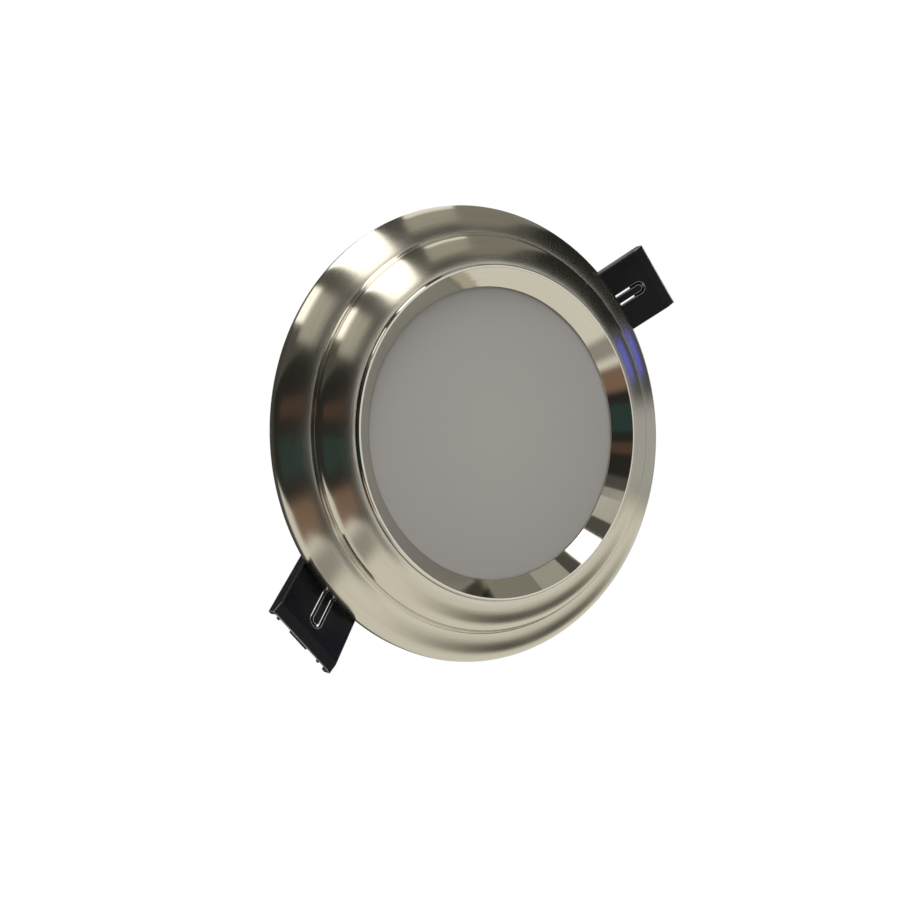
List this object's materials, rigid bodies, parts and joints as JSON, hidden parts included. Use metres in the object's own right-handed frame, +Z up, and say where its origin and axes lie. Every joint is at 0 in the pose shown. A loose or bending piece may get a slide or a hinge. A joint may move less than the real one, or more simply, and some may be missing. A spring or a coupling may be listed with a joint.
{
  "type": "recessed downlight",
  "caption": "Round recessed ceiling downlight: stepped trim ring, polished conical bezel, opal diffuser, finned body with a cable gland, and sprung folding clips.",
  "frame": {"origin": "centre of the trim ring's back face, on the ceiling's surface", "axes": "+Z up into the ceiling void, the light shines towards -Z, the clips are on +X and -X"},
  "size_m": [0.177, 0.145, 0.077],
  "materials": {
    "satin_nickel": "satin nickel plate",
    "polished_nickel": "polished nickel plate",
    "opal": "opal acrylic, unlit",
    "grey_rubber": "soft moulded",
    "white_reflector": "white moulded",
    "light_board": "white solder mask",
    "phosphor": "phosphor silicone",
    "thermal_pad": "soft pad",
    "cast_body": "die-cast, blasted",
    "plated_steel": "zinc plate",
    "white_liner": "moulded",
    "board_green": "glass-fibre board",
    "winding_tape": "winding tape",
    "capacitor_black": "shrink sleeve",
    "film_yellow": "moulded case",
    "ferrite": "ferrite and winding",
    "fuse_body": "lacquered",
    "chip_black": "moulded",
    "terminal_grey": "moulded",
    "lead_white": "sleeved lead",
    "cover_black": "moulded, fine grain",
    "gland_black": "moulded nylon",
    "zinc_sheet": "zinc-plated sheet",
    "spring_wire": "drawn spring wire",
    "sleeve_black": "moulded, satin"
  },
  "bodies": {
    "lamp": {"trim_ring": "satin_nickel", "bezel_ring": "polished_nickel", "diffuser": "opal", "diffuser_gasket": "grey_rubber", "reflector_cup": "white_reflector", "led_board": "light_board", "led_packages": "phosphor", "thermal_pad": "thermal_pad", "heat_sink": "cast_body", "trim_screws": "plated_steel", "board_screws": "plated_steel", "driver_liner": "white_liner", "driver_board": "board_green", "transformer": "winding_tape", "bulk_capacitor": "capacitor_black", "film_capacitor": "film_yellow", "filter_choke": "ferrite", "fuse_resistor": "fuse_body", "bridge_rectifier": "chip_black", "control_chip": "chip_black", "terminal_block": "terminal_grey", "terminal_screws": "plated_steel", "output_leads": "lead_white", "driver_cover": "cover_black", "cover_screws": "plated_steel", "gland_body": "gland_black", "gland_locknut": "gland_black", "gland_seal": "grey_rubber", "gland_nut": "gland_black", "clip_bracket_1": "zinc_sheet", "bracket_screws_1": "plated_steel", "pivot_pin_1": "plated_steel", "clip_bracket_2": "zinc_sheet", "bracket_screws_2": "plated_steel", "pivot_pin_2": "plated_steel"},
    "clip_1": {"clip_sleeve_1": "sleeve_black", "torsion_spring_1": "spring_wire"},
    "clip_2": {"clip_sleeve_2": "sleeve_black", "torsion_spring_2": "spring_wire"}
  },
  "joints": [
    {"name": "clip_1_swing", "type": "hinge", "parent": "lamp", "child": "clip_1", "pos_m": [0.055, 0, 0.0204], "axis": [0, -1, 0], "range_deg": [0, 127], "stiffness_Nm_per_rad": 0.15, "springref_deg": -20.05, "deforming": ["torsion_spring_1"]},
    {"name": "clip_2_swing", "type": "hinge", "parent": "lamp", "child": "clip_2", "pos_m": [-0.055, 0, 0.0204], "axis": [0, 1, 0], "range_deg": [0, 127], "stiffness_Nm_per_rad": 0.15, "springref_deg": -20.05, "deforming": ["torsion_spring_2"]}
  ]
}
